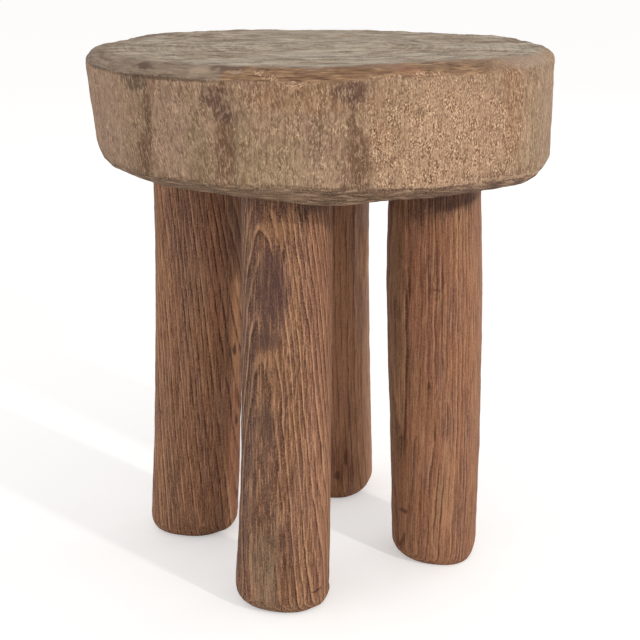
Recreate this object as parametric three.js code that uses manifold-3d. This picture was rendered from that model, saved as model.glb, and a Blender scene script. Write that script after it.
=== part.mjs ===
// A hand-hewn farmhouse milking stool: one thick round seat on four shaved posts.
// Each post ends in a round tenon in a blind hole under the seat. The tenon is sawn down
// its middle, and a hidden wedge, driven by the bottom of the hole as the leg goes in,
// spreads it into the undercut hole so that it cannot draw out.
// Millimetres, +Z up. The origin is on the floor, under the centre of the seat.

import * as THREE from "three";
import { mergeVertices } from "three/addons/utils/BufferGeometryUtils.js";
import Module from "manifold-3d";

const wasm = await Module();
wasm.setup();

// Overall sizes. The seat is a slice of a round trunk, and the adze's flats bring it down
// to about 386 by 384.
const OVERALL_HEIGHT = 450;
const TRUNK_DIAMETER = 392;
const SEAT_THICKNESS = 97;
const SEAT_UNDERSIDE = OVERALL_HEIGHT - SEAT_THICKNESS;

// Seat rim: a worn edge above, broadest on one side, a wall that draws in downwards, and a
// hewn bevel below, deepest on one side. The worn edge's fullness is 1 for a plain chamfer
// and 2 for a full round.
const RIM_WORN_BEARING = THREE.MathUtils.degToRad(-115);
const RIM_ROUND_WORN = { inwards: 16, down: 8.5 };
const RIM_ROUND_CRISP = { inwards: 7, down: 5 };
const RIM_FULLNESS = 1.5;
const WALL_TAPER = 3;
const BEVEL_DEEPEST_BEARING = THREE.MathUtils.degToRad(-165);
const BEVEL_UP_DEEPEST = 10;
const BEVEL_UP_LEAST = 5;
const BEVEL_SOFTENING = 2.5;
const SEAT_SIDES = 180;
const RIM_ROUND_STEPS = 5;
const WALL_STEPS = 4;

// Flats that the adze left round the rim: bearing in degrees, depth below the round, how
// much further the flat leans in at the foot of the wall, and how far in its bevel reaches
// on the underside
const HEWN_FLATS = [
  { bearing: -48, depth: 4, lean: -4, bevel: 11 },
  { bearing: -85, depth: 6, lean: -4, bevel: 13 },
  { bearing: -107, depth: 6, lean: -1, bevel: 15 },
  { bearing: -131, depth: 6, lean: 1, bevel: 22 },
  { bearing: -155, depth: 4, lean: 3, bevel: 26 },
  { bearing: 178, depth: 3, lean: 6, bevel: 24 },
  { bearing: 156, depth: 1, lean: 6, bevel: 20 },
  { bearing: 126, depth: 2, lean: 3, bevel: 18 },
  { bearing: 94, depth: 1.5, lean: 1, bevel: 16 },
  { bearing: 60, depth: 6, lean: 2, bevel: 20 },
  { bearing: 26, depth: 8, lean: 0, bevel: 14 },
  { bearing: -10, depth: 3, lean: -3, bevel: 12 },
];
const FLAT_CORNER_SHARPNESS = 60;

// Where the hewing of the bevel left a low lip under the edge, which fades out towards the
// posts
const LIPS = [
  { bearing: -121, down: 3.8, halfAngle: 19 },
  { bearing: 82, down: 2.2, halfAngle: 24 },
];
const LIP_WIDTH = 18;

// Shallow furrows down the wall where the lobes of the trunk met
const FURROWS = [
  { bearing: -115, depth: 2.0 },
  { bearing: -142, depth: 2.4 },
  { bearing: -166, depth: 2.0 },
  { bearing: 118, depth: 2.2 },
  { bearing: 38, depth: 2.0 },
];
const FURROW_HALF_WIDTH = 9;

// Legs
const LEG_SET_IN = 92;
const LEG_GIRTH = 76;
const LEG_SPLAY = THREE.MathUtils.degToRad(1.8);
const LEG_SQUARENESS = 2.4;
const FOOT_ROUND_IN = 13;
const FOOT_ROUND_UP = 15;
const LEG_SIDES = 32;
const LEG_STEPS = 14;
const FOOT_ROUND_STEPS = 5;

// Joint between a leg and the seat
const TENON_DIAMETER = 40;
const TENON_LENGTH = 60;
const TENON_END_CHAMFER = 2;
const TENON_ROOT_IN_POST = 8;
const MORTICE_CLEARANCE = 0.3;
const GLUE_ROOM = 2;
const KERF_WIDTH = 3;
const KERF_ROOT = 12;
const WEDGE_THICK_END = 6.5;
const WEDGE_SIDE_CLEARANCE = 1.5;
const SEATING_GAP = 0.3;
const JOINT_SIDES = 32;

const MORTICE_DEPTH = TENON_LENGTH + GLUE_ROOM;
const TENON_SPREAD = WEDGE_THICK_END + 2 * SEATING_GAP - KERF_WIDTH;

// How each post departs from a straight round one, at four heights from shoulder to foot:
// across is along the rim, through is towards the seat's centre, outward and sideways
// move its centre. Foot moves the middle of the sole outward and sideways. Millimetres.
const LEGS = [
  {
    name: "front_left",
    corner: -135,
    across: [-7.4, -5.4, -3.4, 3],
    through: [0, 1, 0, 2],
    outward: [1, 0, 1, 0],
    sideways: [-2, -2, -2.8, -6.5],
    foot: [2, 5],
  },
  {
    name: "front_right",
    corner: -45,
    across: [-2, 1, 0, -2],
    through: [0, 6, 3, -1],
    outward: [-5, -6, -6, -7.5],
    sideways: [-1, 0, -1, -2],
    foot: [7, -7],
  },
  {
    name: "back_right",
    corner: 45,
    across: [-12, -12, -10, -8],
    through: [-4, -3, -2, 0],
    outward: [-1, 0, 1, 0],
    sideways: [10, 10.5, 9.5, 7.5],
    foot: [-8, 3],
  },
  {
    name: "back_left",
    corner: 135,
    across: [0, -1, 1, 0],
    through: [-1, 0.9, 1.4, 5],
    outward: [6, 3.3, 4.2, 8],
    sideways: [1, 2, 3, 1],
    foot: [2, 2],
  },
];

const SEAT_WOOD = new THREE.MeshStandardMaterial({
  color: new THREE.Color(0.55, 0.44, 0.33),
  roughness: 0.75,
  metalness: 0,
});
const LEG_WOOD = new THREE.MeshStandardMaterial({
  color: new THREE.Color(0.52, 0.35, 0.25),
  roughness: 0.7,
  metalness: 0,
});
const WEDGE_WOOD = new THREE.MeshStandardMaterial({
  color: new THREE.Color(0.72, 0.58, 0.4),
  roughness: 0.8,
  metalness: 0,
});

// A closed skin through rings of points, the lowest ring first and each one
// counter-clockwise from above. The ends are closed by fans about their middles.
function loft(rings) {
  const sides = rings[0].length;
  const points = rings.flat();
  const index = [];
  for (let ring = 0; ring < rings.length - 1; ring++) {
    for (let side = 0; side < sides; side++) {
      const next = (side + 1) % sides;
      const a = ring * sides + side;
      const b = ring * sides + next;
      index.push(a, b, b + sides, a, b + sides, a + sides);
    }
  }
  const middle = (ring) =>
    ring
      .reduce((sum, point) => sum.add(point), new THREE.Vector3())
      .divideScalar(sides);
  const bottom = points.push(middle(rings[0])) - 1;
  const top = points.push(middle(rings[rings.length - 1])) - 1;
  const lastRing = (rings.length - 1) * sides;
  for (let side = 0; side < sides; side++) {
    const next = (side + 1) % sides;
    index.push(bottom, next, side);
    index.push(top, lastRing + side, lastRing + next);
  }
  return new THREE.BufferGeometry().setFromPoints(points).setIndex(index);
}

function solidOf(geometry) {
  const bare = geometry.clone();
  bare.deleteAttribute("normal");
  bare.deleteAttribute("uv");
  const merged = mergeVertices(bare, 1e-4);
  return new wasm.Manifold(
    new wasm.Mesh({
      numProp: 3,
      vertProperties: merged.getAttribute("position").array,
      triVerts: new Uint32Array(merged.getIndex().array),
    }),
  );
}

function geometryOf(solid) {
  const mesh = solid.getMesh();
  const geometry = new THREE.BufferGeometry();
  geometry.setAttribute(
    "position",
    new THREE.BufferAttribute(mesh.vertProperties, mesh.numProp),
  );
  geometry.setIndex(new THREE.BufferAttribute(mesh.triVerts, 1));
  geometry.computeVertexNormals();
  return geometry;
}

// Passes smoothly through evenly spaced values, and share runs from the first to the last.
function along(values, share) {
  const heights = values.map((value) => new THREE.Vector3(value, 0, 0));
  return new THREE.CatmullRomCurve3(heights).getPoint(share).x;
}

// The rim's radius at a bearing, at the widest height (drawnIn 0) or at the foot of the
// wall (drawnIn 1), and beyond it on the bevel (bevelled 1 on the underside): a soft
// corner joins each hewn flat to the next.
function hewnRadius(bearing, drawnIn, bevelled) {
  const round = TRUNK_DIAMETER / 2;
  let sum = round ** -FLAT_CORNER_SHARPNESS;
  for (const flat of HEWN_FLATS) {
    const towards = Math.cos(bearing - THREE.MathUtils.degToRad(flat.bearing));
    if (towards > 0) {
      const cutIn =
        flat.depth + (WALL_TAPER + flat.lean) * drawnIn + flat.bevel * bevelled;
      sum += (towards / (round - cutIn)) ** FLAT_CORNER_SHARPNESS;
    }
  }
  return sum ** (-1 / FLAT_CORNER_SHARPNESS);
}

// Falls smoothly from 1 at the middle bearing, in degrees, to 0 at a half angle from it.
function lobe(bearing, middle, halfAngle) {
  const turn = bearing - THREE.MathUtils.degToRad(middle);
  const away = Math.abs(Math.atan2(Math.sin(turn), Math.cos(turn)));
  return away < halfAngle ? 0.5 + 0.5 * Math.cos((Math.PI * away) / halfAngle) : 0;
}

function furrowDepth(bearing) {
  const halfAngle = FURROW_HALF_WIDTH / (TRUNK_DIAMETER / 2);
  const depths = FURROWS.map(
    (furrow) => furrow.depth * lobe(bearing, furrow.bearing, halfAngle),
  );
  return Math.max(...depths);
}

function lipDepth(bearing) {
  const depths = LIPS.map(
    (lip) =>
      lip.down * lobe(bearing, lip.bearing, THREE.MathUtils.degToRad(lip.halfAngle)),
  );
  return Math.max(...depths);
}

// Runs from least, on the far side, to most at the bearing that faces towards.
function swing(least, most, bearing, towards) {
  const share = 0.5 + 0.5 * Math.cos(bearing - towards);
  return THREE.MathUtils.lerp(least, most, share);
}

// The rim's heights, its worn edge and the lip under it, at a bearing.
function rimAt(bearing) {
  const worn = (size) =>
    swing(RIM_ROUND_CRISP[size], RIM_ROUND_WORN[size], bearing, RIM_WORN_BEARING);
  const bevelUp = swing(
    BEVEL_UP_LEAST,
    BEVEL_UP_DEEPEST,
    bearing,
    BEVEL_DEEPEST_BEARING,
  );
  return {
    roundIn: worn("inwards"),
    roundDown: worn("down"),
    wallTop: OVERALL_HEIGHT - worn("down"),
    wallFoot: SEAT_UNDERSIDE + bevelUp,
    bevelUp,
    lip: lipDepth(bearing),
  };
}

// A ring of the seat's skin. The profile gives, for each bearing, the height and how the
// radius departs from the hewn one.
function seatRing(profile) {
  return Array.from({ length: SEAT_SIDES }, (_, side) => {
    const bearing = (2 * Math.PI * side) / SEAT_SIDES;
    const {
      height,
      inset = 0,
      drawnIn = 0,
      bevelled = 0,
      furrowed = 1,
    } = profile(rimAt(bearing));
    const furrow = furrowDepth(bearing) * furrowed;
    const radius = hewnRadius(bearing, drawnIn, bevelled) - inset - furrow;
    return new THREE.Vector3(
      radius * Math.cos(bearing),
      radius * Math.sin(bearing),
      height,
    );
  });
}

function seatBlank() {
  const rings = [
    seatRing(() => ({
      height: SEAT_UNDERSIDE,
      inset: LIP_WIDTH,
      drawnIn: 1,
      bevelled: 1,
      furrowed: 0,
    })),
    seatRing(({ lip }) => ({
      height: SEAT_UNDERSIDE - lip,
      drawnIn: 1,
      bevelled: 1,
      furrowed: 0,
    })),
    seatRing(({ wallFoot, bevelUp }) => ({
      height: wallFoot - BEVEL_SOFTENING,
      drawnIn: 1,
      bevelled: BEVEL_SOFTENING / bevelUp,
      furrowed: 0.5,
    })),
  ];
  for (let step = 0; step <= WALL_STEPS; step++) {
    const climbed = step / WALL_STEPS;
    rings.push(
      seatRing(({ wallFoot, wallTop }) => ({
        height: THREE.MathUtils.lerp(wallFoot + BEVEL_SOFTENING, wallTop, climbed),
        drawnIn: 1 - climbed,
      })),
    );
  }
  for (let step = 1; step <= RIM_ROUND_STEPS; step++) {
    const turn = (step / RIM_ROUND_STEPS) * (Math.PI / 2);
    const climbed = Math.sin(turn) ** (2 / RIM_FULLNESS);
    const left = Math.cos(turn) ** (2 / RIM_FULLNESS);
    rings.push(
      seatRing(({ roundIn, roundDown, wallTop }) => ({
        height: wallTop + roundDown * climbed,
        inset: roundIn * (1 - left),
        furrowed: left,
      })),
    );
  }
  return solidOf(loft(rings));
}

// A round whose two halves stand apart along X by spread.
function splitRound(radius, spread, height) {
  return Array.from({ length: JOINT_SIDES }, (_, side) => {
    const turn = (2 * Math.PI * (side + 0.5)) / JOINT_SIDES;
    const shift = (Math.sign(Math.cos(turn)) * spread) / 2;
    return new THREE.Vector3(
      radius * Math.cos(turn) + shift,
      radius * Math.sin(turn),
      height,
    );
  });
}

// How far the halves of the tenon stand apart at a height above its shoulder.
function spreadAt(height) {
  const sawn = TENON_LENGTH - KERF_ROOT;
  return (TENON_SPREAD * Math.max(0, height - KERF_ROOT)) / sawn;
}

// The joint's own frame stands at the leg's centre on the underside of the seat, with
// its Z along the tenon. Both solids start inside the post, so that no sliver is left.
function morticeCutter() {
  const radius = TENON_DIAMETER / 2 + MORTICE_CLEARANCE;
  return loft([
    splitRound(radius, 0, -TENON_ROOT_IN_POST),
    splitRound(radius, 0, KERF_ROOT),
    splitRound(radius, spreadAt(TENON_LENGTH), TENON_LENGTH),
    splitRound(radius, spreadAt(TENON_LENGTH), MORTICE_DEPTH),
  ]);
}

function tenonBlank() {
  const radius = TENON_DIAMETER / 2;
  const chamfer = TENON_LENGTH - TENON_END_CHAMFER;
  return loft([
    splitRound(radius, 0, -TENON_ROOT_IN_POST),
    splitRound(radius, 0, KERF_ROOT),
    splitRound(radius, spreadAt(chamfer), chamfer),
    splitRound(radius - TENON_END_CHAMFER, spreadAt(TENON_LENGTH), TENON_LENGTH),
  ]);
}

// A bar that runs along Y, with a cross-section that widens from one height to another.
function taperedBar(length, widthBelow, below, widthAbove, above) {
  const section = new THREE.Shape([
    new THREE.Vector2(-widthBelow / 2, below),
    new THREE.Vector2(widthBelow / 2, below),
    new THREE.Vector2(widthAbove / 2, above),
    new THREE.Vector2(-widthAbove / 2, above),
  ]);
  return new THREE.ExtrudeGeometry(section, {
    depth: length,
    bevelEnabled: false,
  })
    .translate(0, 0, -length / 2)
    .rotateX(Math.PI / 2);
}

// The width of the kerf, held open by the wedge, keeps its slope past the tenon's end.
function kerfWidthAt(height) {
  return KERF_WIDTH + (TENON_SPREAD * (height - KERF_ROOT)) / (TENON_LENGTH - KERF_ROOT);
}

function kerfCutter() {
  return taperedBar(
    2 * TENON_DIAMETER,
    kerfWidthAt(KERF_ROOT),
    KERF_ROOT,
    kerfWidthAt(MORTICE_DEPTH),
    MORTICE_DEPTH,
  );
}

function wedgeGeometry() {
  const below = KERF_ROOT + GLUE_ROOM;
  const above = MORTICE_DEPTH - SEATING_GAP;
  return taperedBar(
    TENON_DIAMETER - 2 * WEDGE_SIDE_CLEARANCE,
    kerfWidthAt(below) - 2 * SEATING_GAP,
    below,
    kerfWidthAt(above) - 2 * SEATING_GAP,
    above,
  );
}

// Carries the joint's frame to the leg's, which stands on the floor under the joint with
// X outwards. The tenon leans in as it rises, because the leg splays out as it falls.
function jointPlacement(leg) {
  return new THREE.Matrix4()
    .makeTranslation(leg.outward[0], leg.sideways[0], SEAT_UNDERSIDE)
    .multiply(new THREE.Matrix4().makeRotationY(-LEG_SPLAY));
}

function legPlacement(leg) {
  const bearing = THREE.MathUtils.degToRad(leg.corner);
  const radius = TRUNK_DIAMETER / 2 - LEG_SET_IN;
  return {
    position: new THREE.Vector3(
      radius * Math.cos(bearing),
      radius * Math.sin(bearing),
      0,
    ),
    bearing,
  };
}

function postRing(leg, height) {
  const shoulder = SEAT_UNDERSIDE - SEATING_GAP;
  const share = THREE.MathUtils.clamp(1 - height / shoulder, 0, 1);
  const footRise = THREE.MathUtils.clamp(height / FOOT_ROUND_UP, 0, 1);
  const rounded = 1 - Math.sqrt(1 - (1 - footRise) ** 2);
  const through = (LEG_GIRTH + along(leg.through, share)) / 2 - FOOT_ROUND_IN * rounded;
  const across = (LEG_GIRTH + along(leg.across, share)) / 2 - FOOT_ROUND_IN * rounded;
  const fall = Math.tan(LEG_SPLAY) * (shoulder - height);
  const centreX = along(leg.outward, share) + fall + leg.foot[0] * rounded;
  const centreY = along(leg.sideways, share) + leg.foot[1] * rounded;
  return Array.from({ length: LEG_SIDES }, (_, side) => {
    const turn = (2 * Math.PI * side) / LEG_SIDES;
    const x = Math.cos(turn);
    const y = Math.sin(turn);
    const reach =
      Math.abs(x / through) ** LEG_SQUARENESS +
      Math.abs(y / across) ** LEG_SQUARENESS;
    const radius = reach ** (-1 / LEG_SQUARENESS);
    return new THREE.Vector3(centreX + radius * x, centreY + radius * y, height);
  });
}

function legGeometry(leg) {
  const rings = [];
  for (let step = 0; step < FOOT_ROUND_STEPS; step++) {
    const turn = (step / FOOT_ROUND_STEPS) * (Math.PI / 2);
    rings.push(postRing(leg, FOOT_ROUND_UP * (1 - Math.cos(turn))));
  }
  for (let step = 0; step <= LEG_STEPS; step++) {
    const height = THREE.MathUtils.lerp(
      FOOT_ROUND_UP,
      SEAT_UNDERSIDE - SEATING_GAP,
      step / LEG_STEPS,
    );
    rings.push(postRing(leg, height));
  }
  const placement = jointPlacement(leg);
  const tenon = solidOf(tenonBlank().applyMatrix4(placement));
  const kerf = solidOf(kerfCutter().applyMatrix4(placement));
  return geometryOf(solidOf(loft(rings)).add(tenon).subtract(kerf));
}

const stool = new THREE.Group();
let seat = seatBlank();

for (const leg of LEGS) {
  const { position, bearing } = legPlacement(leg);
  const corner = new THREE.Group();
  corner.position.copy(position);
  corner.rotation.z = bearing;
  corner.updateMatrixWorld(true);

  const post = new THREE.Mesh(legGeometry(leg), LEG_WOOD);
  post.name = `leg_${leg.name}`;

  const joint = jointPlacement(leg);
  const wedge = new THREE.Mesh(wedgeGeometry(), WEDGE_WOOD);
  wedge.name = `wedge_${leg.name}`;
  wedge.applyMatrix4(joint);

  const cutter = morticeCutter().applyMatrix4(joint);
  seat = seat.subtract(solidOf(cutter.applyMatrix4(corner.matrixWorld)));

  corner.add(post, wedge);
  stool.add(corner);
}

const seatMesh = new THREE.Mesh(geometryOf(seat), SEAT_WOOD);
seatMesh.name = "seat";
stool.add(seatMesh);

export default stool;
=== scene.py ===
"""A hand-hewn milking stool: one thick slab of trunk on four shaved posts."""

import math

import bpy
from mathutils import Matrix, Vector


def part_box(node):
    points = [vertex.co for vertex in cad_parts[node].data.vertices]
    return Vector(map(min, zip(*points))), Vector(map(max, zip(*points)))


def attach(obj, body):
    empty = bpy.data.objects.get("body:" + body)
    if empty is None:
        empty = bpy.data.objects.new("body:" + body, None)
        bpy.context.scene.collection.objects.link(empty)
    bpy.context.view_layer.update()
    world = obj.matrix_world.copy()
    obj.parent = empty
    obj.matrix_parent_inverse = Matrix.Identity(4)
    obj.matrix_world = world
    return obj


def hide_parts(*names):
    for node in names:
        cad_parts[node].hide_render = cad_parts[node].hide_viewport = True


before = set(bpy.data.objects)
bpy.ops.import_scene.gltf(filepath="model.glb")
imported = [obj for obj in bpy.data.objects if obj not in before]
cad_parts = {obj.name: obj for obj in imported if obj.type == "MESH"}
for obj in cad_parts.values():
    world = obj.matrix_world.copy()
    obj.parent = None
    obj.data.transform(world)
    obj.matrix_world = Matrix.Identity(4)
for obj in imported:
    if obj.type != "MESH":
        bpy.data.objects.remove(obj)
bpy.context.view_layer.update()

MM = 0.001
SEAT_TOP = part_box("seat")[1].z
SEAT_RADIUS = 190 * MM
SEAT_UNDERSIDE = 353 * MM
MORTICES_WITHIN = 0.75 * SEAT_RADIUS
POSTS = ("front_left", "front_right", "back_right", "back_left")

# The photograph looks along +Y turned by this much about Z. Places that were judged from
# it are given as right, away and up in that view, in millimetres, and bearings from its
# right-hand side.
VIEW_TURN = math.radians(-31.9)
FROM_VIEW = Matrix.Rotation(VIEW_TURN, 3, "Z")
TO_VIEW = Matrix.Rotation(-VIEW_TURN, 3, "Z")
CAMERA_PLACE = Vector((-0.0001, -1.0783, 0.5421))
CAMERA_PITCH = math.radians(17.07)
CAMERA_LENS = 71.34
CAMERA_SENSOR = 36

# Voxels of the re-skinned wood, and how near each other two corners are one
SEAT_VOXEL = 2.1 * MM
POST_VOXEL = 1.3 * MM
SAME_CORNER = 0.001 * MM

# A soft spot or swelling is whole within a share of its half size, and gone at another
SWELLING_WHOLE = 0.5
SPOT_WHOLE = 0.55
GONE = 1.25

# The noise at which a grain begins to show in its pale or dark tone, and shows whole
PALE_GRAIN = (0.51, 0.68)
DARK_GRAIN = (0.49, 0.32)


# Shaping


def share(value, low, high):
    """A smooth 0 to 1 as value runs from low to high."""
    step = min(1.0, max(0.0, (value - low) / (high - low)))
    return step * step * (3 - 2 * step)


def pick_only(piece):
    bpy.ops.object.select_all(action="DESELECT")
    piece.select_set(True)
    bpy.context.view_layer.objects.active = piece


def apply_modifier(piece, kind, **settings):
    """Adds a modifier with these settings and applies it at once."""
    modifier = piece.modifiers.new(kind.lower(), kind)
    for name, value in settings.items():
        setattr(modifier, name, value)
    pick_only(piece)
    bpy.ops.object.modifier_apply(modifier=modifier.name)


def reskin(node, name, voxel):
    """A merged copy of a CAD node, skinned anew in small even faces."""
    piece = bpy.data.objects.new(name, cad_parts[node].data.copy())
    bpy.context.collection.objects.link(piece)
    pick_only(piece)
    bpy.ops.object.mode_set(mode="EDIT")
    bpy.ops.mesh.select_all(action="SELECT")
    bpy.ops.mesh.remove_doubles(threshold=SAME_CORNER)
    bpy.ops.object.mode_set(mode="OBJECT")
    piece.data.materials.clear()
    apply_modifier(piece, "REMESH", mode="VOXEL", voxel_size=voxel, adaptivity=0.0)
    return piece


def mask(piece, name, weight):
    """A vertex group whose weight at each point comes from its place and normal."""
    group = piece.vertex_groups.new(name=name)
    for point in piece.data.vertices:
        amount = weight(point.co, point.normal)
        if amount > 0:
            group.add([point.index], amount, "REPLACE")


def smooth(piece, passes, group):
    apply_modifier(piece, "SMOOTH", factor=0.5, iterations=passes, vertex_group=group)


def roughen(piece, group, cell, depth, turn=0.0):
    """Raises and sinks the surface in soft lumps that measure cell, in millimetres, along
    X, Y and Z of a frame turned about Z."""
    pattern = bpy.data.textures.new("lumps", "CLOUDS")
    cells = bpy.data.objects.new("cells", None)
    bpy.context.collection.objects.link(cells)
    cells.scale = Vector(cell) * MM
    cells.rotation_euler = (0, 0, turn)
    bpy.context.view_layer.update()
    apply_modifier(
        piece,
        "DISPLACE",
        texture=pattern,
        texture_coords="OBJECT",
        texture_coords_object=cells,
        strength=depth * MM,
        mid_level=0.5,
        vertex_group=group,
    )
    bpy.data.objects.remove(cells)
    bpy.data.textures.remove(pattern)


def near(place, centre, half):
    """1 near a centre given in the view, in millimetres, and 0 beyond its half sizes."""
    off = [(seen / MM - middle) / side for seen, middle, side in zip(TO_VIEW @ place, centre, half)]
    return 1 - share(Vector(off).length, SWELLING_WHOLE, GONE)


def swell(piece, name, weight, height):
    """Raises the surface by height, in millimetres, where the weight is 1."""
    mask(piece, name, weight)
    apply_modifier(piece, "DISPLACE", strength=height * MM, mid_level=0.0, vertex_group=name)


def press(piece, name, centre, half, height):
    """Raises a place of a post, given as in near, by height, but not its sole."""

    def pressed(place, normal):
        return near(place, centre, half) * share(place.z, 0.5 * MM, 4 * MM)

    swell(piece, name, pressed, height)


# Mixing wood


def linear(tone):
    """The shader's colour for a tone given as a screen shows it, 0 to 255."""
    screen = [part / 255 for part in tone]
    values = [
        part / 12.92 if part <= 0.04045 else ((part + 0.055) / 1.055) ** 2.4
        for part in screen
    ]
    return (*values, 1.0)


class Recipe:
    """A material being mixed. Each method adds shader nodes and returns what they give.
    Places and cells are in millimetres."""

    def __init__(self, name):
        self.material = bpy.data.materials.new(name)
        self.material.use_nodes = True
        self.tree = self.material.node_tree
        self.surface = self.tree.nodes["Principled BSDF"]
        objects = self.add("ShaderNodeTexCoord", {}).outputs["Object"]
        self.place = self.vector("SCALE", objects, Scale=1 / MM)
        turned = {"Vector": self.place, "Rotation": (0, 0, -VIEW_TURN)}
        self.view = self.add("ShaderNodeMapping", turned).outputs[0]

    def add(self, kind, sockets, **settings):
        made = self.tree.nodes.new(kind)
        for name, value in settings.items():
            setattr(made, name, value)
        for key, value in sockets.items():
            self.join(value, made.inputs[key])
        return made

    def join(self, value, socket):
        """Links what another node gives, or sets a plain value."""
        if isinstance(value, bpy.types.NodeSocket):
            self.tree.links.new(value, socket)
        else:
            socket.default_value = value

    def maths(self, operation, *values):
        sockets = dict(enumerate(values))
        return self.add("ShaderNodeMath", sockets, operation=operation).outputs[0]

    def times(self, first, *others):
        """The product of all the values."""
        for other in others:
            first = self.maths("MULTIPLY", first, other)
        return first

    def largest(self, first, *others):
        for other in others:
            first = self.maths("MAXIMUM", first, other)
        return first

    def rest(self, amount):
        """What an amount leaves of 1."""
        return self.maths("SUBTRACT", 1.0, amount)

    def vector(self, operation, *values, **named):
        sockets = {**dict(enumerate(values)), **named}
        made = self.add("ShaderNodeVectorMath", sockets, operation=operation)
        return made.outputs["Value" if operation == "LENGTH" else "Vector"]

    def parts(self, place):
        """The X, Y and Z of a place."""
        return self.add("ShaderNodeSeparateXYZ", {0: place}).outputs

    def whole(self, x, y, z):
        """The place with this X, Y and Z."""
        return self.add("ShaderNodeCombineXYZ", {0: x, 1: y, 2: z}).outputs[0]

    def sized(self, cell, place, shift):
        """The place counted in cells of this size, then shifted."""
        sockets = {"Vector": place, "Scale": [1 / side for side in cell], "Location": shift}
        return self.add("ShaderNodeMapping", sockets).outputs[0]

    def noise(self, cell, place, seed, detail, rough, give):
        sockets = {
            "Vector": self.sized(cell, place, (seed, 2 * seed, 3 * seed)),
            "Scale": 1.0,
            "Detail": detail,
            "Roughness": rough,
        }
        return self.add("ShaderNodeTexNoise", sockets).outputs[give]

    def cloud(self, cell, place, seed, detail=1.0, rough=0.5):
        """Soft noise from 0 to 1 whose cells have this size."""
        return self.noise(cell, place, seed, detail, rough, "Fac")

    def stirred(self, place, cell, reach, seed):
        """The place pushed about, by half of reach at most, over cells of this size."""
        push = self.noise(cell, place, seed, 1.0, 0.5, "Color")
        centred = self.vector("MULTIPLY_ADD", push, reach, [-side / 2 for side in reach])
        return self.vector("ADD", place, centred)

    def rise(self, value, low, high, least=0.0, most=1.0):
        """A smooth step from least to most as the value runs from low to high."""
        sockets = {0: value, 1: low, 2: high, 3: least, 4: most}
        made = self.add("ShaderNodeMapRange", sockets, interpolation_type="SMOOTHSTEP")
        return made.outputs[0]

    def spots(self, place, each):
        """1 inside any of the soft-edged spots, each given by its centre and half sizes."""
        found = []
        for centre, half in each:
            shift = [-middle / side for middle, side in zip(centre, half)]
            off = self.vector("LENGTH", self.sized(half, place, shift))
            found.append(self.rise(off, GONE, SPOT_WHOLE))
        return self.largest(*found)

    def tones(self, value, *stops):
        """A colour ramp through (position, tone) stops."""
        made = self.add("ShaderNodeValToRGB", {0: value})
        elements = made.color_ramp.elements
        while len(elements) < len(stops):
            elements.new(0.5)
        for element, (position, tone) in zip(elements, stops):
            element.position = position
            element.color = linear(tone)
        return made.outputs[0]

    def between(self, amount, first, second):
        """The number that goes from the first to the second as the amount rises to 1."""
        return self.add("ShaderNodeMix", {0: amount, 2: first, 3: second}).outputs[0]

    def blend(self, amount, first, second):
        """The colour that goes from the first to the second as the amount rises to 1."""
        sockets = {0: amount, 6: first, 7: second}
        return self.add("ShaderNodeMix", sockets, data_type="RGBA").outputs[2]

    def tint(self, colour, tone, amount, strength=1.0):
        """The colour taken towards a tone by the amount times the strength."""
        if strength != 1.0:
            amount = self.times(amount, strength)
        return self.blend(amount, colour, linear(tone))

    def grained(self, colour, grain, pale, dark, strength):
        """The colour made paler where the grain is high and darker where it is low."""
        high = self.rise(grain, *PALE_GRAIN)
        low = self.rise(grain, *DARK_GRAIN)
        colour = self.tint(colour, pale, self.times(high, strength))
        return self.tint(colour, dark, self.times(low, strength))

    def finish(self, colour, height, depth, roughness, gloss):
        """Gives the surface its colour, a relief of this depth in millimetres, its
        roughness and its gloss."""
        bump = {"Height": height, "Distance": depth * MM, "Strength": 1.0}
        normal = self.add("ShaderNodeBump", bump).outputs[0]
        self.join(colour, self.surface.inputs["Base Color"])
        self.join(normal, self.surface.inputs["Normal"])
        self.join(roughness, self.surface.inputs["Roughness"])
        self.surface.inputs["Specular IOR Level"].default_value = gloss
        return self.material


# The seat's wood

WALL_DEEP = (142, 115, 92)
WALL_PALE = (162, 133, 107)
WALL_PINK = (156, 120, 100)
WALL_OLIVE = (130, 110, 82)
TOP_BROWN = (148, 128, 108)
TOP_TAN = (164, 147, 128)
TOP_GREY = (166, 154, 140)

# Stains, and one band of painted shade, in the order in which they are laid, each with its tone,
# its strength and its spots: how far round the rim from the view's front, how high, half the width
# and height
WALL_STAINS = {
    "pink": ((178, 146, 126), 0.5, [(-212, 405, 44, 66), (-116, 400, 22, 40)]),
    "bleached": ((182, 154, 126), 0.5, [(-20, 376, 36, 15), (178, 385, 9, 16)]),
    "sunned": ((182, 145, 115), 0.6, [(96, 396, 74, 52)]),
    "olive": ((142, 122, 90), 0.55, [(-42, 384, 30, 26), (194, 398, 11, 60), (-93, 388, 12, 30)]),
    "rust": ((146, 106, 76), 0.6, [(160, 415, 12, 46), (-6, 431, 54, 13), (45, 404, 10, 10)]),
    "furrows": (
        (100, 70, 50),
        0.8,
        [
            (-139, 412, 4, 34),
            (-146, 382, 9, 18),
            (-70, 388, 8, 38),
            (-73, 438, 4, 9),
            (23, 416, 3.5, 18),
            (27, 386, 11, 24),
            (20, 366, 6, 5),
            (32, 365, 7, 5),
        ],
    ),
    "bruises": ((94, 68, 58), 0.9, [(-76, 430, 13, 9), (-70, 418, 11, 9), (21, 435, 15, 10)]),
    # Painted shade along the foot of the wall's right end, above the bevel
    "painted_foot_shade": ((124, 94, 74), 0.6, [(145, 366, 46, 5)]),
    "mossy": ((94, 78, 62), 0.9, [(-151, 437, 15, 9)]),
}
RIM_STAINS = {
    "bleached": ((180, 160, 144), 0.4, [(196, 448, 44, 7)]),
    "plum": ((92, 68, 56), 0.75, [(-70, 450, 17, 3.5), (-146, 448, 9, 3)]),
    "tanned": ((112, 82, 58), 0.5, [(24, 449, 18, 5)]),
}

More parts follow.
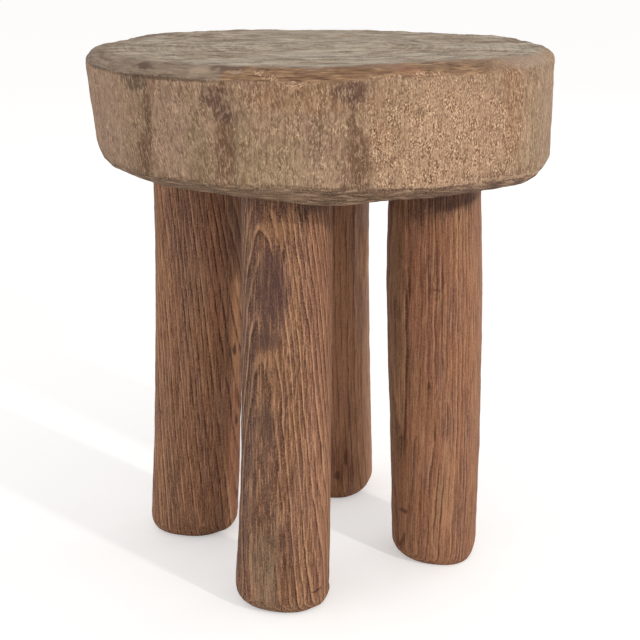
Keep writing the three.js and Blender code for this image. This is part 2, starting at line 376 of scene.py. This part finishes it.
# The height of the wall's middle, the heights over which the rim takes its place, and how
# far round the rim the back begins and is whole
WALL_MIDDLE = 400.0
RIM_BEGINS = (441.5, 444.0)
BACK_BEGINS = (400, 560)


class SeatWood(Recipe):
    """A weathered slab: upright pores and stained furrows on the wall, a worn rim, a greyer
    tooled top and a hewn bevel below."""

    def __init__(self):
        super().__init__("seat_wood")
        self.right, self.away, self.up = self.parts(self.view)
        bearing = self.maths("ARCTAN2", self.right, self.times(self.away, -1.0))
        self.around = self.times(bearing, SEAT_RADIUS / MM)
        self.radius = self.vector("LENGTH", self.whole(self.right, self.away, 0.0))
        self.on_wall = self.whole(self.around, 0.0, self.up)
        self.on_rim = self.whole(self.around, self.radius, self.up)
        self.wall = self.stirred(self.on_wall, (7, 7, 14), (7, 0, 9), 2.3)
        self.ragged = self.stirred(self.on_wall, (2.5, 2.5, 2.5), (3, 0, 2.5), 6.3)
        normal = self.add("ShaderNodeNewGeometry", {}).outputs["Normal"]
        self.facing_up = self.parts(normal)[2]

        # What differs to the left and to the right meets smoothly at the back
        self.behind = self.rise(self.maths("ABSOLUTE", self.around), *BACK_BEGINS)
        self.in_front = self.rest(self.behind)

        # The patterns that more than one part shows
        self.stained = {
            name: self.wall_spots(self.wall, *spots)
            for name, (_, _, spots) in WALL_STAINS.items()
        }
        self.broad = self.cloud((40, 40, 55), self.place, 3.1, 2.0)
        self.specks = self.cloud((1.0, 1.0, 1.7), self.place, 2.9)
        grain = self.leaning_grain()
        self.streaks = self.cloud((1.4, 1.4, 18), grain, 1.7, 3.0, 0.6)
        dashes = self.cloud((0.85, 0.85, 3.0), grain, 5.2)
        speckled = self.rise(self.stained["sunned"], 0.0, 1.0, 0.35, 0.85)
        self.pores = self.between(speckled, dashes, self.specks)
        self.cuts = self.cloud((46, 17, 46), self.view, 6.1, 2.0)
        self.flecks = self.cloud((20, 8, 20), self.view, 9.7, 2.0)

    def wall_spots(self, place, *each):
        """1 inside any of the spots on the wall or the rim, given as in WALL_STAINS."""
        spots = [((around, 0, up), (wide, 1, high)) for around, up, wide, high in each]
        return self.spots(place, spots)

    def leaning_grain(self):
        """Places along the wall's upright grain, which leans, most on the left."""
        leaning = self.rise(self.around, -30, -100, 0.0, 0.21)
        leaning = self.maths("MULTIPLY_ADD", leaning, self.in_front, 0.03)
        lean = self.times(self.maths("SUBTRACT", self.up, WALL_MIDDLE), leaning)
        leant = self.whole(self.maths("ADD", self.right, lean), self.away, self.up)
        return self.stirred(leant, (30, 30, 60), (4, 4, 0), 4.1)

    def wall_colour(self):
        """The panels that the furrows part, their stains and a band of painted shade, and over them
        the grain.
        """
        patches = self.cloud((13, 13, 24), self.place, 8.4, 2.0, 0.6)
        colour = self.tones(self.broad, (0.35, WALL_DEEP), (0.65, WALL_PALE))
        colour = self.tint(colour, WALL_PINK, self.rise(patches, 0.52, 0.68), 0.6)
        colour = self.tint(colour, WALL_OLIVE, self.rise(patches, 0.48, 0.34), 0.6)
        for name, (tone, strength, _) in WALL_STAINS.items():
            colour = self.tint(colour, tone, self.stained[name], strength)

        # The pores show most where the sun has dried the wood, and least where it is soaked
        dried = self.wall_spots(self.wall, (96, 396, 80, 58))
        lined = self.wall_spots(self.wall, (-8, 392, 22, 44), (33, 416, 7, 18))
        lively = self.maths("MULTIPLY_ADD", lined, 0.15, self.rise(dried, 0.0, 1.0, 0.56, 0.9))
        patchy = self.rise(self.cloud((9, 9, 14), self.place, 6.6, 2.0), 0.35, 0.62, 0.45, 1.15)
        soaked = self.largest(*(self.stained[name] for name in ("furrows", "bruises", "mossy")))
        lively = self.times(lively, patchy, self.rise(soaked, 0.0, 1.0, 1.0, 0.6))
        mottles = self.cloud((3.2, 3.2, 6.0), self.place, 4.8, 2.0)
        colour = self.grained(colour, self.streaks, (190, 160, 132), (104, 78, 58), 0.5)
        colour = self.grained(colour, mottles, (186, 156, 130), (112, 86, 66), 0.45)
        return self.grained(colour, self.pores, (228, 192, 156), (94, 68, 50), lively)

    def top_colour(self):
        """Tooled end grain, with the trunk's rings showing faintly between the dents."""
        sweep = self.cloud((70, 34, 70), self.view, 4.4, 2.0)
        from_heart = self.whole(self.radius, self.right, self.away)
        wavy = self.parts(self.stirred(from_heart, (30, 40, 40), (14, 0, 0), 7.7))[0]
        rings = self.cloud((3.4, 3.4, 3.4), self.whole(wavy, 0.0, 0.0), 1.3, 3.0)
        top = self.tones(sweep, (0.35, TOP_BROWN), (0.5, TOP_TAN), (0.65, TOP_GREY))
        top = self.grained(top, self.cuts, (204, 188, 166), (112, 94, 78), 0.55)
        top = self.grained(top, self.flecks, (212, 198, 178), (102, 86, 72), 0.55)
        top = self.grained(top, rings, (204, 188, 166), (106, 88, 72), 0.38)
        return self.grained(top, self.specks, (208, 192, 172), (92, 76, 62), 0.3)

    def rim_colour(self, wall_colour, unworn):
        """Grey as the top to the left of the second furrow, then brown, and as the wall
        where it isn't worn."""
        worn = self.cloud((15, 7, 1.3), self.on_rim, 3.3, 2.0, 0.6)
        brown = self.tones(self.broad, (0.4, (133, 102, 77)), (0.6, (151, 118, 90)))
        brown = self.grained(brown, worn, (184, 148, 112), (92, 64, 46), 0.85)
        red = self.wall_spots(self.ragged, (68, 448, 13, 4))
        brown = self.tint(brown, (150, 98, 74), red, 0.35)
        grey = self.tones(self.broad, (0.4, (133, 114, 97)), (0.6, (151, 132, 113)))
        grey = self.grained(grey, worn, (172, 152, 132), (100, 80, 64), 0.6)
        rim = self.blend(self.rise(self.around, -66, -76), brown, grey)
        rim = self.blend(unworn, rim, wall_colour)
        for tone, strength, spots in RIM_STAINS.values():
            rim = self.tint(rim, tone, self.wall_spots(self.wall, *spots), strength)
        return rim

    def bevel_colour(self):
        """The hewn bevel under the wall, and the underside, with painted shade in two places on the
        bevel.
        """
        shaved = self.cloud((16, 3, 3), self.on_rim, 7.3, 2.0, 0.6)
        bevel = self.tones(self.broad, (0.35, (124, 100, 80)), (0.65, (138, 113, 92)))
        ruddy = self.times(self.rise(self.around, 0, 90), self.in_front)
        bevel = self.tint(bevel, (112, 82, 68), ruddy, 0.7)
        # Painted shade on the bevel under the wall's edge, at the right end and at the front
        painted_bevel_shade = self.wall_spots(self.wall, (172, 357, 18, 7), (17, 359, 14, 6))
        bevel = self.tint(bevel, (84, 64, 54), painted_bevel_shade, 0.55)
        bevel = self.grained(bevel, shaved, (178, 148, 120), (80, 60, 46), 0.95)
        return self.grained(bevel, self.pores, (188, 156, 126), (80, 60, 46), 0.6)

    def chipped(self, colour):
        """Adds the dark line of painted shade in the crease under the rim's edge, its pale chips
        with a line of painted highlight on the right, and pale places on the rim's edge that are
        rubbed wear and painted highlight.
        """
        # A dark line of painted shade along the crease under the rim on the left
        painted_crease_shade = self.wall_spots(self.ragged, (-128, 440.5, 62, 1.6), (-210, 441, 26, 1.4))
        colour = self.tint(colour, (74, 58, 46), painted_crease_shade, 0.6)
        # Pale chips on the left; the two spots on the right are a pale broken line along the rim's
        # lower edge that is painted highlight
        chips_and_highlight = self.wall_spots(
            self.ragged,
            (-43, 447, 6, 2.5),
            (-34, 444, 7, 2),
            (-18, 440, 12, 2),
            (48, 444.5, 16, 1.5),
            (80, 445.5, 16, 1.8),
        )
        broken = self.rise(self.cloud((1.4, 1.4, 1.0), self.ragged, 8.8, 2.0), 0.5, 0.6)
        colour = self.tint(colour, (222, 188, 156), self.times(chips_and_highlight, broken), 0.75)
        # Pale places on the rim's left edge: rubbed wear and painted highlight
        rubbed_and_highlight = self.wall_spots(self.ragged, (-92, 447, 12, 2), (-62, 447, 5, 1.4))
        return self.tint(colour, (186, 162, 140), rubbed_and_highlight, 0.55)

    def lined_arris(self, colour):
        """Adds the line where the wall meets the bevel, dark on the left, pale on the right, where
        it is wear and painted highlight.
        """
        patchy = self.rise(self.cloud((9, 9, 2), self.on_wall, 1.9), 0.45, 0.55)
        arris = self.times(
            self.rise(self.facing_up, -0.04, -0.12),
            self.rise(self.facing_up, -0.4, -0.26),
            self.rise(self.up, 371, 366),
            self.in_front,
            patchy,
            0.5,
        )
        # The pale right half of the line is wear and painted highlight
        to_the_right = self.rise(self.around, 20, 60)
        line = self.tones(to_the_right, (0.0, (92, 70, 54)), (1.0, (196, 162, 136)))
        return self.blend(arris, colour, line)

    def flat_top(self):
        """1 on the flat top, which begins further in where the rim is worn most."""
        deeper = self.rise(self.around, -20, 60, 11, 30)
        shallower = self.rise(self.around, 100, 260, 0, 30)
        inset = self.maths("SUBTRACT", deeper, shallower)
        inset = self.maths("MULTIPLY_ADD", inset, self.in_front, 6.0)
        inside = self.maths("SUBTRACT", SEAT_RADIUS / MM, self.radius)
        inside = self.maths("SUBTRACT", inside, inset)
        uneven = self.cloud((16, 16, 16), self.place, 5.5, 2.0)
        inside = self.maths("MULTIPLY_ADD", uneven, 9.0, inside)
        return self.times(self.rise(inside, -1.0, 9.0), self.rise(self.facing_up, 0.3, 0.6))

    def mixed(self):
        """The finished material."""
        unworn = self.largest(self.rise(self.around, 110, 175), self.behind)
        uneven = self.cloud((14, 14, 14), self.on_wall, 2.2)
        edge = self.maths("MULTIPLY_ADD", uneven, 3.0, self.up)
        edge = self.maths("SUBTRACT", edge, self.rise(self.around, 0, 45, 0.0, 2.5))
        above_wall = self.rise(edge, *RIM_BEGINS)
        flat = self.flat_top()

        wall = self.wall_colour()
        colour = self.blend(above_wall, wall, self.rim_colour(wall, unworn))
        colour = self.chipped(colour)
        colour = self.blend(flat, colour, self.top_colour())
        colour = self.blend(self.rise(self.facing_up, -0.08, -0.45), colour, self.bevel_colour())
        colour = self.lined_arris(colour)

        upright = self.maths("MULTIPLY_ADD", self.streaks, 0.7, self.pores)
        tooled = self.maths("MULTIPLY_ADD", self.flecks, 0.6, self.cuts)
        height = self.between(self.rise(self.facing_up, 0.5, 0.9), upright, tooled)

        # Dull in the pores, shinier on the ridges and most on the rim where it is worn
        roughness = self.rise(height, 0.6, 1.1, 0.84, 0.66)
        handled = self.times(above_wall, self.rest(unworn), self.rest(flat))
        roughness = self.maths("MULTIPLY_ADD", handled, -0.12, roughness)
        return self.finish(colour, height, 0.3, roughness, 0.22)


# The wood of the posts and wedges

MAUVE = (112, 82, 72)
GOLDEN = (164, 120, 82)
DARK_KNOT = (58, 34, 24)
DUSK = (96, 66, 52)


def post_wood(post, pith, ring, lean, seed, bold, calm, tones, stains, marks, faint=()):
    """Reddish-brown shaved hardwood in three tones. The rings are cones about the pith, in
    the view's right and away, so they cross the face as leaning lines or nested arches,
    a ring's width apart. Lean is how far the lines lean at the foot and at the shoulder,
    bold is how strongly the grain shows and calm how even its lines are, from 0 to 1.
    Stains lie under the grain and marks over it, both as (tone, strength, spots); some of them are
    painted shade, and some painted light, on the post. In the faint spots its lines are lost."""
    wood = Recipe(f"post_wood_{post}")
    wandering = wood.stirred(wood.view, (30, 30, 160), (4, 4, 0), seed)
    wobble = 1.3 - calm
    wandering = wood.stirred(wandering, (7, 7, 30), (wobble, wobble, 0), seed + 1)
    right, away, up = wood.parts(wandering)
    across = wood.maths("SUBTRACT", right, pith[0])
    beyond = wood.maths("SUBTRACT", away, pith[1])
    radius = wood.vector("LENGTH", wood.whole(across, beyond, 0.0))
    foot, shoulder = lean
    bend = (shoulder - foot) / (2 * SEAT_UNDERSIDE / MM)
    drop = wood.times(up, wood.maths("MULTIPLY_ADD", up, bend, foot))
    rings = wood.maths("DIVIDE", wood.maths("ADD", radius, drop), ring)
    uneven = wood.cloud((2.5, 2.5, 2.5), wood.whole(rings, 0.0, 0.0), seed)
    rings = wood.maths("MULTIPLY_ADD", uneven, 1.1 - 0.8 * calm, rings)
    inside = wood.maths("FRACT", rings)
    count = {"W": wood.maths("FLOOR", rings)}
    chance = wood.add("ShaderNodeTexWhiteNoise", count, noise_dimensions="1D").outputs["Value"]

    broad = wood.cloud((24, 24, 110), wandering, seed + 2, 2.0)
    ribbons = wood.cloud((5, 5, 90), wandering, seed + 5)
    fibres = wood.cloud((1.0, 1.0, 34), wandering, seed + 6, 2.0, 0.6)
    pores = wood.cloud((0.9, 0.9, 7), wandering, seed + 9)
    hues = wood.cloud((9, 9, 80), wandering, seed + 11)
    dust = wood.cloud((0.8, 0.8, 1.4), wandering, seed + 15)
    fading = wood.cloud((5, 5, 26 + 60 * calm), wandering, seed + 13)
    clear = wood.rise(fading, 0.36, 0.6, 0.3 + 0.4 * calm, 1.15)
    if faint:
        lost = wood.spots(wood.stirred(wood.view, (4, 4, 20), (4, 4, 16), seed + 16), faint)
        clear = wood.times(clear, wood.rise(lost, 0.0, 1.0, 1.0, 0.15))

    # Tones and stains, among them painted shade and painted light
    deep, middle, pale = tones
    colour = wood.tones(broad, (0.35, deep), (0.5, middle), (0.65, pale))
    colour = wood.tint(colour, (122, 86, 74), wood.rise(hues, 0.5, 0.62), 0.5)
    colour = wood.tint(colour, (152, 106, 70), wood.rise(hues, 0.5, 0.38), 0.4)
    blurred = wood.stirred(wood.view, (4, 4, 30), (5, 5, 40), seed + 3)
    for tone, strength, spots in stains:
        colour = wood.tint(colour, tone, wood.spots(blurred, spots), strength)
    colour = wood.grained(colour, ribbons, (172, 122, 88), (104, 68, 48), 0.25 * bold)

    # Each ring's pale early wood and dark late wood, some rings stronger than others
    early = wood.times(wood.rise(inside, 0.4, 0.15), wood.rise(inside, 0.0, 0.06), clear)
    strong = wood.rise(chance, 0.0, 1.0, 0.15 + 0.3 * calm, 0.75)
    colour = wood.tint(colour, (203, 153, 115), wood.times(early, strong), bold)
    late = wood.times(wood.rise(inside, 0.66, 0.88), wood.rise(inside, 1.0, 0.96), clear)
    strong = wood.rise(chance, 1.0, 0.0, 0.35 + 0.3 * calm, 0.95)
    colour = wood.tint(colour, (74, 44, 30), wood.times(late, strong), bold)

    # Fibres, pores and specks, then the marks, among them painted shade
    colour = wood.grained(colour, fibres, (205, 155, 118), (80, 48, 33), 0.6 * bold)
    colour = wood.tint(colour, (60, 36, 24), wood.rise(pores, 0.4, 0.28), 0.6 * bold)
    colour = wood.grained(colour, dust, (205, 158, 124), (76, 47, 35), 0.3 * bold)
    crooked = wood.stirred(wood.view, (2, 2, 6), (2, 2, 4), seed + 4)
    for tone, strength, spots in marks:
        colour = wood.tint(colour, tone, wood.spots(crooked, spots), strength)

    height = wood.maths("SUBTRACT", wood.maths("ADD", fibres, pores), late)
    roughness = wood.rise(height, 0.2, 1.3, 0.8, 0.6)
    return wood.finish(colour, height, 0.2, roughness, 0.3)


def wedge_wood():
    """Split pale hardwood, hidden in the joints."""
    wood = Recipe("wedge_wood")
    grain = wood.cloud((1.5, 1.5, 20), wood.place, 7.0, 3.0)
    colour = wood.tones(
        grain, (0.3, (168, 134, 96)), (0.5, (190, 158, 116)), (0.7, (208, 180, 140))
    )
    return wood.finish(colour, grain, 0.3, wood.rise(grain, 0.3, 0.7, 0.86, 0.74), 0.2)


# Pieces


def place_on_stool(piece, node, material):
    """The piece, in its wood, stands for the CAD node from here on."""
    piece.data.materials.append(material)
    pick_only(piece)
    bpy.ops.object.shade_smooth()
    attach(piece, "root")
    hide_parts(node)


def hewn_seat():
    """The slab, with soft hewing marks, a worn rim and lightly rippled flats."""
    seat = reskin("seat", "hewn_seat", SEAT_VOXEL)

    def outside(place, normal):
        """The skin that shows, without the mortices."""
        beyond_mortices = math.hypot(place.x, place.y) > MORTICES_WITHIN
        below_mortices = place.z < SEAT_UNDERSIDE + 1 * MM
        above_mortices = place.z > SEAT_TOP - 12 * MM
        return 1.0 if beyond_mortices or below_mortices or above_mortices else 0.0

    def upper(place, normal):
        """The top and its rim, calmer at the far edge."""
        seen = TO_VIEW @ place
        calmer = 0.6 * share(seen.y, 80 * MM, 150 * MM)
        return share(normal.z, 0.5, 0.95) * outside(place, normal) * (1 - calmer)

    def wall(place, normal):
        return (1 - share(abs(normal.z), 0.3, 0.8)) * outside(place, normal)

    def left_side(place, normal):
        """Worn rounder where the view's left ends."""
        seen = TO_VIEW @ place
        return share(-seen.x, 158 * MM, 182 * MM) * outside(place, normal)

    def far_left(place, normal):
        """The top stands a little proud at the back of the view's left."""
        seen = TO_VIEW @ place
        there = share(-seen.x, 20 * MM, 90 * MM) * share(seen.y, 60 * MM, 130 * MM)
        return there * upper(place, normal)

    def far_right(place, normal):
        """And less so at the back of its right."""
        seen = TO_VIEW @ place
        there = share(seen.x, 120 * MM, 165 * MM) * share(seen.y, 20 * MM, 70 * MM)
        return there * upper(place, normal)

    def low_left(place, normal):
        """Hewn back a little more low on the view's left."""
        return near(place, (-182, 10, 360), (18, 120, 15))

    mask(seat, "outside", outside)
    smooth(seat, 2, "outside")
    mask(seat, "left_side", left_side)
    smooth(seat, 14, "left_side")
    mask(seat, "upper", upper)
    mask(seat, "wall", wall)
    swell(seat, "far_left", far_left, 3.0)
    swell(seat, "far_right", far_right, 1.3)
    swell(seat, "low_left", low_left, -2.4)
    roughen(seat, "outside", (60, 60, 60), 1.4)
    roughen(seat, "upper", (60, 24, 60), 1.8, VIEW_TURN)
    roughen(seat, "upper", (26, 10, 26), 0.5, VIEW_TURN)
    roughen(seat, "wall", (22, 22, 50), 0.9)
    roughen(seat, "wall", (7, 7, 30), 0.25)
    place_on_stool(seat, "seat", SeatWood().mixed())


def shaved_post(post, presses=(), **wood):
    """A post with low waves along its grain, in wood that post_wood mixes. Presses are
    (centre, half sizes, height) of places that stand proud."""
    node = f"leg_{post}"
    piece = reskin(node, f"post_{post}", POST_VOXEL)

    def outside(place, normal):
        """The skin that shows, without the sole and the tenon."""
        under_seat = 1 - share(place.z, SEAT_UNDERSIDE - 6 * MM, SEAT_UNDERSIDE - 1 * MM)
        return under_seat * share(place.z, 0.4 * MM, 14 * MM)

    mask(piece, "outside", outside)
    smooth(piece, 5, "outside")
    roughen(piece, "outside", (45, 45, 120), 1.4)
    roughen(piece, "outside", (14, 14, 80), 0.5)
    roughen(piece, "outside", (4, 4, 40), 0.15)
    for count, (centre, half, height) in enumerate(presses):
        press(piece, f"press_{count}", centre, half, height)
    place_on_stool(piece, node, post_wood(post, **wood))


hewn_seat()
shaved_post(
    "front_left",
    presses=[((6, -116, 3), (14, 40, 6), 2.2), ((-66, -125, 212), (10, 34, 26), 0.8)],
    pith=(-38, -123),
    ring=2.5,
    lean=(0.03, 0.11),
    seed=1.0,
    bold=1.0,
    calm=0.8,
    faint=[
        ((-39, -140, 268), (14, 25, 44)),
        ((-46, -145, 90), (12, 25, 110)),
        # The last faint spot calms the grain in the painted shade under the seat
        ((-18, -130, 351), (60, 60, 15)),
    ],
    tones=[(99, 63, 46), (108, 70, 52), (122, 81, 60)],
    stains=[
        ((86, 61, 53), 0.9, [((-62, -120, 190), (16, 34, 220))]),
        ((82, 54, 49), 0.95, [((-37, -140, 281), (15, 25, 34))]),
        # The next two are painted shade of the seat on the post's top
        ((58, 36, 28), 0.9, [((-2, -130, 345), (28, 40, 12))]),
        ((70, 46, 40), 0.6, [((-46, -140, 350), (26, 40, 10))]),
        ((94, 66, 57), 0.8, [((-38, -140, 248), (18, 25, 17))]),
        ((150, 99, 76), 0.5, [((0, -130, 180), (13, 40, 260))]),
        # The first golden spot is the wood's figure and also painted light, just below the painted
        # shade of the seat
        (GOLDEN, 0.7, [((-30, -141, 328), (17, 25, 10)), ((-41, -140, 222), (8, 25, 5))]),
        (GOLDEN, 0.6, [((-19, -141, 278), (4, 25, 40))]),
        (DUSK, 0.75, [((-44, -141, 163), (9, 25, 40)), ((-44, -141, 213), (8, 25, 10))]),
        ((144, 124, 98), 0.75, [((-46, -145, 40), (13, 25, 44))]),
        ((86, 74, 60), 0.75, [((-37, -145, 80), (5.5, 25, 23))]),
        ((92, 74, 58), 0.5, [((-44, -145, 114), (7, 25, 13))]),
        ((92, 76, 60), 0.5, [((-46, -140, 3), (24, 40, 6))]),
        ((84, 62, 50), 0.35, [((-52, -140, 92), (15, 25, 62))]),
        (GOLDEN, 0.5, [((-15, -141, 50), (4, 25, 50))]),
        ((140, 114, 86), 0.5, [((-30, -145, 4), (36, 30, 9))]),
        ((180, 130, 98), 0.5, [((6, -120, 90), (9, 40, 110))]),
    ],
    marks=[
        ((84, 56, 50), 0.55, [((-37, -140, 280), (14, 25, 33))]),
        # Painted shade of the seat on the post's top, laid over the grain
        ((70, 44, 36), 0.6, [((6, -130, 347), (24, 40, 11))]),
        ((80, 58, 48), 0.5, [((-43, -141, 168), (8, 25, 18)), ((-42, -141, 236), (12, 25, 8))]),
        (DARK_KNOT, 0.8, [((-28, -141, 306), (1.2, 25, 5)), ((-3, -139, 19), (5, 25, 1.1))]),
    ],
)
shaved_post(
    "back_left",
    presses=[((-80, 15, 4), (14, 44, 6), 1.8)],
    pith=(-190, 20),
    ring=4.4,
    lean=(0.02, 0.13),
    seed=12.0,
    bold=1.0,
    calm=0.1,
    tones=[(139, 94, 69), (151, 104, 76), (163, 116, 86)],
    stains=[
        (MAUVE, 0.4, [((-106, -10, 280), (24, 40, 70))]),
        # Painted shade of the seat on the post's right edge, above the painted light
        ((92, 64, 56), 0.6, [((-77, 4, 300), (8, 40, 44))]),
        ((184, 126, 96), 0.6, [((-91, 0, 250), (7, 60, 80))]),
        ((114, 78, 58), 0.55, [((-134, 0, 90), (8, 60, 80)), ((-112, 0, 14), (26, 60, 20))]),
        # A painted strip of light on the post's right edge, where light reaches between the front
        # posts
        ((186, 136, 96), 0.8, [((-76, 4, 198), (6, 40, 52))]),
        # A russet stain made paler, partly painted light along the same edge lower down
        ((176, 116, 84), 0.6, [((-78, 4, 70), (8, 40, 80))]),
    ],
    marks=[(DARK_KNOT, 0.8, [((-77, 4, 182), (1.6, 20, 6)), ((-77, 6, 112), (1.4, 20, 6))])],
)
shaved_post(
    "back_right",
    pith=(-40, 120),
    ring=3.6,
    lean=(0.05, -0.05),
    seed=23.0,
    bold=0.6,
    calm=0.0,
    tones=[(168, 121, 88), (172, 126, 93), (176, 131, 99)],
    stains=[
        # Painted light on the post's left side, where it lies in the front left post's shade
        ((196, 146, 112), 0.6, [((16, 80, 170), (12, 60, 120))]),
        # Painted shade of the seat on the post's top right
        ((112, 78, 62), 0.65, [((38, 80, 310), (14, 60, 50))]),
        ((120, 70, 52), 0.5, [((24, 75, 40), (14, 30, 22))]),
    ],
    marks=[(DARK_KNOT, 0.6, [((25, 75, 46), (1.8, 20, 9)), ((17, 75, 27), (3.5, 20, 5))])],
)
shaved_post(
    "front_right",
    pith=(190, 60),
    ring=2.9,
    lean=(0.02, -0.02),
    seed=34.0,
    bold=0.75,
    calm=0.2,
    tones=[(145, 95, 68), (156, 104, 76), (170, 123, 91)],
    stains=[
        ((138, 86, 64), 0.6, [((86, -58, 250), (18, 30, 80))]),
        ((114, 68, 52), 0.65, [((96, -60, 269), (12, 30, 21))]),
        # The next two are painted shade of the seat on the post's top
        ((70, 44, 34), 0.6, [((76, -58, 325), (24, 40, 13))]),
        ((58, 36, 30), 0.85, [((108, -58, 329), (24, 40, 11))]),
        ((148, 120, 90), 0.5, [((64, -45, 190), (9, 30, 150)), ((108, -64, 70), (7, 30, 14))]),
        ((190, 138, 102), 0.5, [((104, -64, 40), (9, 40, 40)), ((112, -62, 106), (8, 40, 26))]),
        ((186, 136, 100), 0.5, [((105, -64, 17), (12, 40, 12)), ((112, -62, 62), (7, 40, 26))]),
        # Its first spot is painted shade of the seat on the post's right edge; the second only
        # darkens that edge low down
        ((128, 86, 66), 0.5, [((123, -58, 308), (7, 30, 16)), ((123, -58, 60), (5, 30, 60))]),
    ],
    marks=[
        (DARK_KNOT, 0.6, [((93, -61, 171), (1.4, 20, 5)), ((74, -51, 50), (4, 20, 2.5))]),
        # Painted shade of the seat on the post's top, laid over the grain
        ((74, 46, 38), 0.55, [((108, -58, 332), (24, 40, 9))]),
        ((104, 58, 44), 0.7, [((102, -64, 263), (1.1, 20, 7)), ((97, -63, 256), (3.4, 20, 1.4))]),
        ((104, 58, 44), 0.6, [((90, -61, 284), (1.2, 20, 3)), ((91, -61, 266), (1.4, 20, 4))]),
    ],
)
pale_wood = wedge_wood()
for post in POSTS:
    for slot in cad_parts[f"wedge_{post}"].material_slots:
        slot.material = pale_wood


# Studio

ROOM_TONE = (0.72, 0.71, 0.7, 1)
BACKGROUND_TONE = (1, 1, 1, 1)
FLOOR_TONE = (0.8, 0.8, 0.8, 1)
FLOOR_SIZE = 30
FLOOR_GLOW = 0.4
LAMPS_AIM = Vector((0, 0, 0.25))


def camera():
    data = bpy.data.cameras.new("camera")
    data.lens = CAMERA_LENS
    data.sensor_width = CAMERA_SENSOR
    made = bpy.data.objects.new("camera", data)
    made.location = FROM_VIEW @ CAMERA_PLACE
    made.rotation_euler = (math.pi / 2 - CAMERA_PITCH, 0, VIEW_TURN)
    bpy.context.collection.objects.link(made)
    bpy.context.scene.camera = made


def lamp(name, bearing, elevation, reach, size, power, tone=(1, 1, 1)):
    """A square soft lamp. Its bearing is from the view's right-hand side, anticlockwise."""
    data = bpy.data.lights.new(name, "AREA")
    data.size = size
    data.energy = power
    data.color = tone
    made = bpy.data.objects.new(name, data)
    bearing = math.radians(bearing)
    elevation = math.radians(elevation)
    flat = reach * math.cos(elevation)
    high = reach * math.sin(elevation)
    off = Vector((flat * math.cos(bearing), flat * math.sin(bearing), high))
    made.location = LAMPS_AIM + FROM_VIEW @ off
    towards = LAMPS_AIM - made.location
    made.rotation_euler = towards.to_track_quat("-Z", "Y").to_euler()
    bpy.context.collection.objects.link(made)


def studio_world():
    """An even pale room that lights the stool, seen by the camera as white."""
    world = bpy.data.worlds.new("studio")
    world.use_nodes = True
    bpy.context.scene.world = world
    tree = world.node_tree
    room = tree.nodes["Background"]
    room.inputs["Color"].default_value = ROOM_TONE
    white = tree.nodes.new("ShaderNodeBackground")
    white.inputs["Color"].default_value = BACKGROUND_TONE
    path = tree.nodes.new("ShaderNodeLightPath")
    both = tree.nodes.new("ShaderNodeMixShader")
    tree.links.new(path.outputs["Is Camera Ray"], both.inputs[0])
    tree.links.new(room.outputs[0], both.inputs[1])
    tree.links.new(white.outputs[0], both.inputs[2])
    tree.links.new(both.outputs[0], tree.nodes["World Output"].inputs["Surface"])


def studio_floor():
    """A pale floor that keeps the shadow and looks nearly white to the camera."""
    bpy.ops.object.select_all(action="DESELECT")
    bpy.ops.mesh.primitive_plane_add(size=FLOOR_SIZE)
    floor = bpy.context.active_object
    floor.name = "floor"
    material = bpy.data.materials.new("pale_floor")
    material.use_nodes = True
    tree = material.node_tree
    surface = tree.nodes["Principled BSDF"]
    surface.inputs["Base Color"].default_value = FLOOR_TONE
    surface.inputs["Roughness"].default_value = 0.9
    surface.inputs["Specular IOR Level"].default_value = 0.0
    glow = tree.nodes.new("ShaderNodeEmission")
    path = tree.nodes.new("ShaderNodeLightPath")
    tree.links.new(path.outputs["Is Camera Ray"], glow.inputs["Color"])
    glow.inputs["Strength"].default_value = FLOOR_GLOW
    both = tree.nodes.new("ShaderNodeAddShader")
    tree.links.new(surface.outputs[0], both.inputs[0])
    tree.links.new(glow.outputs[0], both.inputs[1])
    tree.links.new(both.outputs[0], tree.nodes["Material Output"].inputs["Surface"])
    floor.data.materials.append(material)


camera()
studio_world()
studio_floor()
lamp("key", bearing=-45, elevation=25, reach=2.6, size=0.12, power=22, tone=(1.0, 0.96, 0.9))
lamp("left_fill", bearing=-155, elevation=14, reach=3.0, size=1.6, power=9)
lamp("low_fill", bearing=35, elevation=12, reach=3.0, size=1.5, power=10)
bpy.context.scene.view_settings.view_transform = "Standard"
